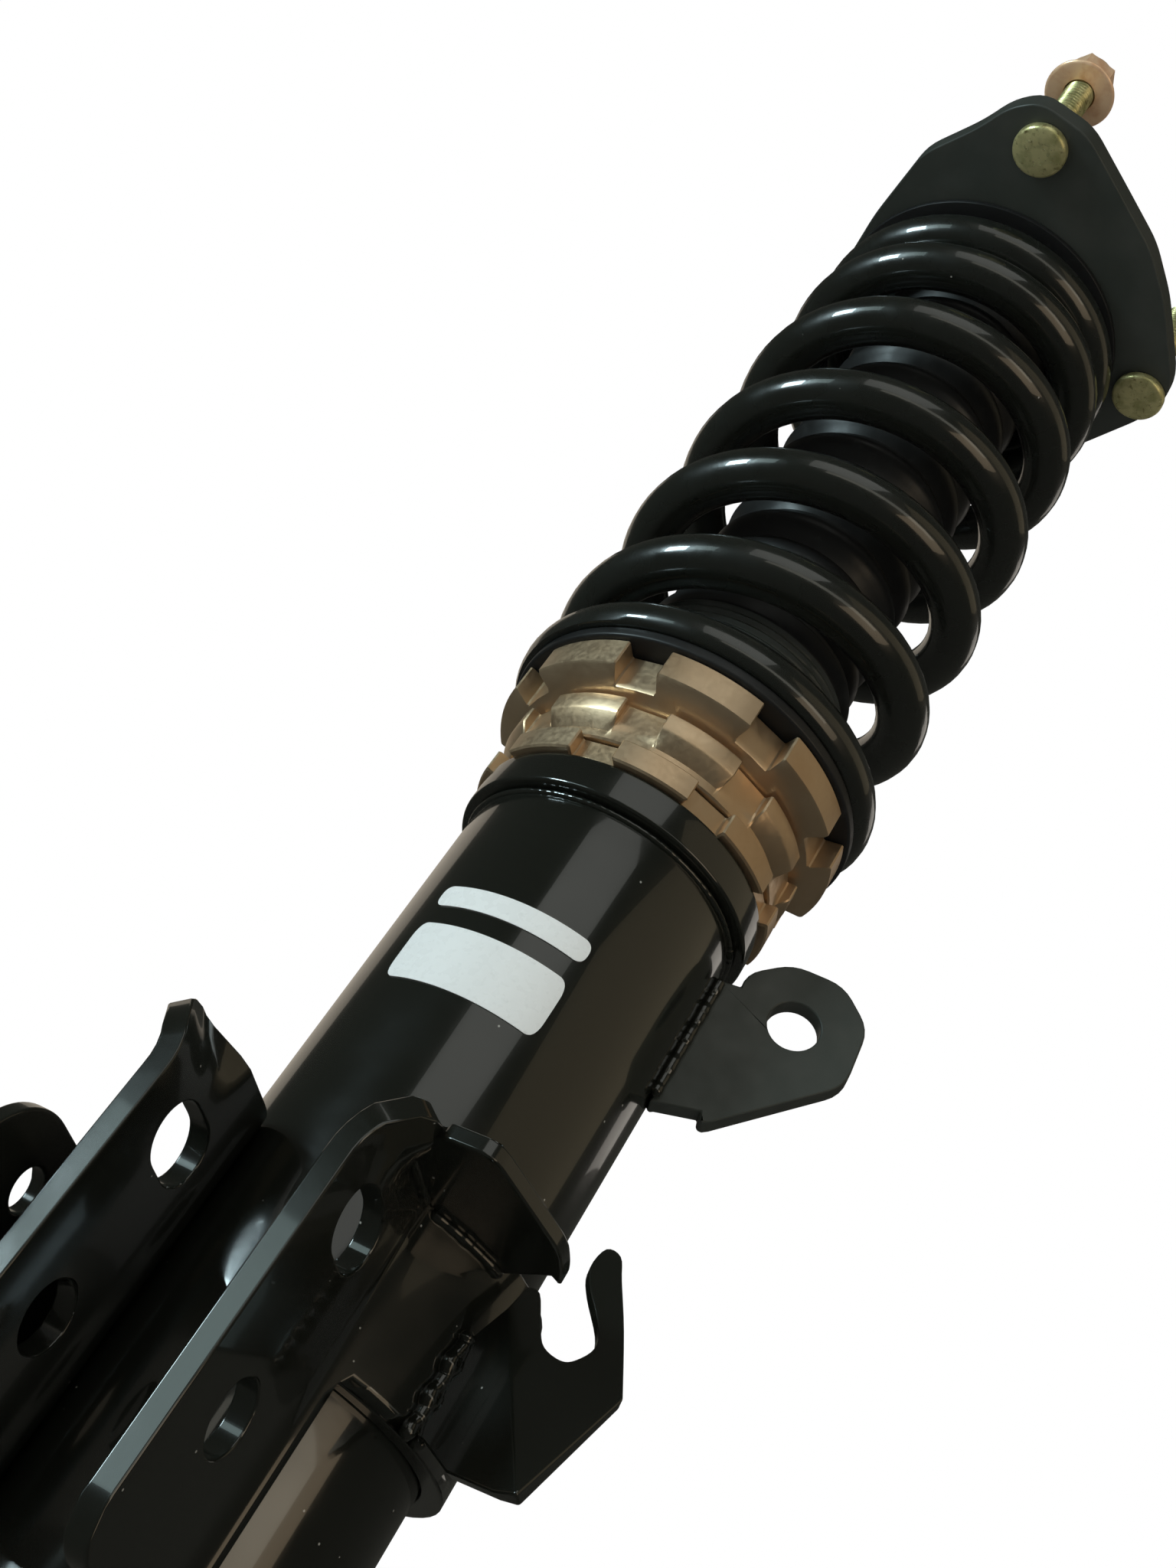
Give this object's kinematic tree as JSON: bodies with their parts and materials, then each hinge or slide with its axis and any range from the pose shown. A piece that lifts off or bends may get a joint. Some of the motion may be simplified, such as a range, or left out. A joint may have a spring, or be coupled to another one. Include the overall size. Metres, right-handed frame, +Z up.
{
  "type": "coilover strut",
  "caption": "Threaded coilover strut: coil spring over a damper in a lower shell with a two-bolt knuckle bracket, adjusting collars and a studded pillow-ball top mount.",
  "frame": {"origin": "centre of the shell's flat base, on the strut's axis", "axes": "+Z up the strut towards the top mount; X along the two knuckle bolts; the knuckle bracket opens towards -Y"},
  "size_m": [0.1188, 0.1174, 0.447],
  "materials": {
    "gloss_black_paint": "gloss black powder coat",
    "satin_black": "satin black coating",
    "champagne_anodised": "satin champagne anodised",
    "rubber": "matt",
    "hard_chrome": "ground and hard chromed",
    "bright_steel": "turned",
    "turned_aluminium": "turned",
    "yellow_zinc": "yellow zinc plated",
    "coppery_zinc": "copper-toned zinc plated",
    "bump_foam": "matt microcellular foam"
  },
  "bodies": {
    "lower_shell": {"lower_shell_tube": "gloss_black_paint", "shell_base_cap": "gloss_black_paint", "shell_threaded_boss": "gloss_black_paint", "knuckle_bracket": "gloss_black_paint", "gusset_plate": "gloss_black_paint", "link_tab": "satin_black", "hose_bracket": "gloss_black_paint", "side_tab": "gloss_black_paint"},
    "shell_lock_ring": {"shell_lock_ring": "champagne_anodised"},
    "damper": {"damper_body": "satin_black", "rod_guide": "turned_aluminium", "rod_seal": "rubber", "gland_cap": "rubber", "dust_boot": "rubber", "main_spring": "gloss_black_paint", "lower_spring_seat": "rubber"},
    "perch_lock_ring": {"perch_lock_ring": "champagne_anodised"},
    "spring_perch": {"spring_perch": "champagne_anodised"},
    "gas_piston": {"floating_piston": "turned_aluminium", "floating_piston_seal": "rubber"},
    "rod": {"piston_rod": "hard_chrome", "piston": "turned_aluminium", "piston_band": "rubber", "rebound_shims": "bright_steel", "compression_shims": "bright_steel", "piston_nut": "bright_steel", "bump_stop": "bump_foam", "bump_stop_washer": "bright_steel", "lower_spacer": "bright_steel", "pivot_ball": "bright_steel", "upper_spacer": "bright_steel", "top_nut": "bright_steel"},
    "adjuster": {"adjuster_knob": "champagne_anodised", "adjuster_needle": "bright_steel"},
    "top_mount": {"bearing_race": "bright_steel", "bearing_circlip": "satin_black", "bearing_housing": "satin_black", "top_plate": "satin_black", "mount_stud_1": "yellow_zinc", "mount_stud_2": "yellow_zinc", "mount_stud_3": "yellow_zinc", "stud_nut": "coppery_zinc", "upper_spring_seat": "rubber"}
  },
  "joints": [
    {"name": "ride_height", "type": "slide", "parent": "lower_shell", "child": "damper", "axis": [0, 0, 1], "range_m": [0, 0.045]},
    {"name": "shell_lock_ring_turn", "type": "hinge", "parent": "lower_shell", "child": "shell_lock_ring", "pos_m": [0, 0, 0.181], "axis": [0, 0, 1], "continuous": true},
    {"name": "perch_lock_ring_turn", "type": "hinge", "parent": "damper", "child": "perch_lock_ring", "pos_m": [0, 0, 0.189], "axis": [0, 0, 1], "continuous": true},
    {"name": "spring_perch_turn", "type": "hinge", "parent": "damper", "child": "spring_perch", "pos_m": [0, 0, 0.2], "axis": [0, 0, 1], "continuous": true},
    {"name": "damper_stroke", "type": "slide", "parent": "damper", "child": "rod", "axis": [0, 0, 1], "range_m": [-0.08, 0], "stiffness_N_per_m": 92000, "deforming": ["main_spring", "dust_boot"]},
    {"name": "gas_piston_slide", "type": "slide", "parent": "damper", "child": "gas_piston", "axis": [0, 0, 1], "range_m": [-0.0185, 0]},
    {"name": "adjuster_turn", "type": "hinge", "parent": "rod", "child": "adjuster", "pos_m": [0, 0, 0.44], "axis": [0, 0, 1], "range_deg": [0, 450]},
    {"name": "mount_swivel", "type": "hinge", "parent": "rod", "child": "top_mount", "pos_m": [0, 0, 0.396], "axis": [0, 0, 1], "range_deg": [-40, 40]}
  ],
  "couplings": [
    {"joint": "gas_piston_slide", "follows": "damper_stroke", "ratio": 0.2287}
  ]
}
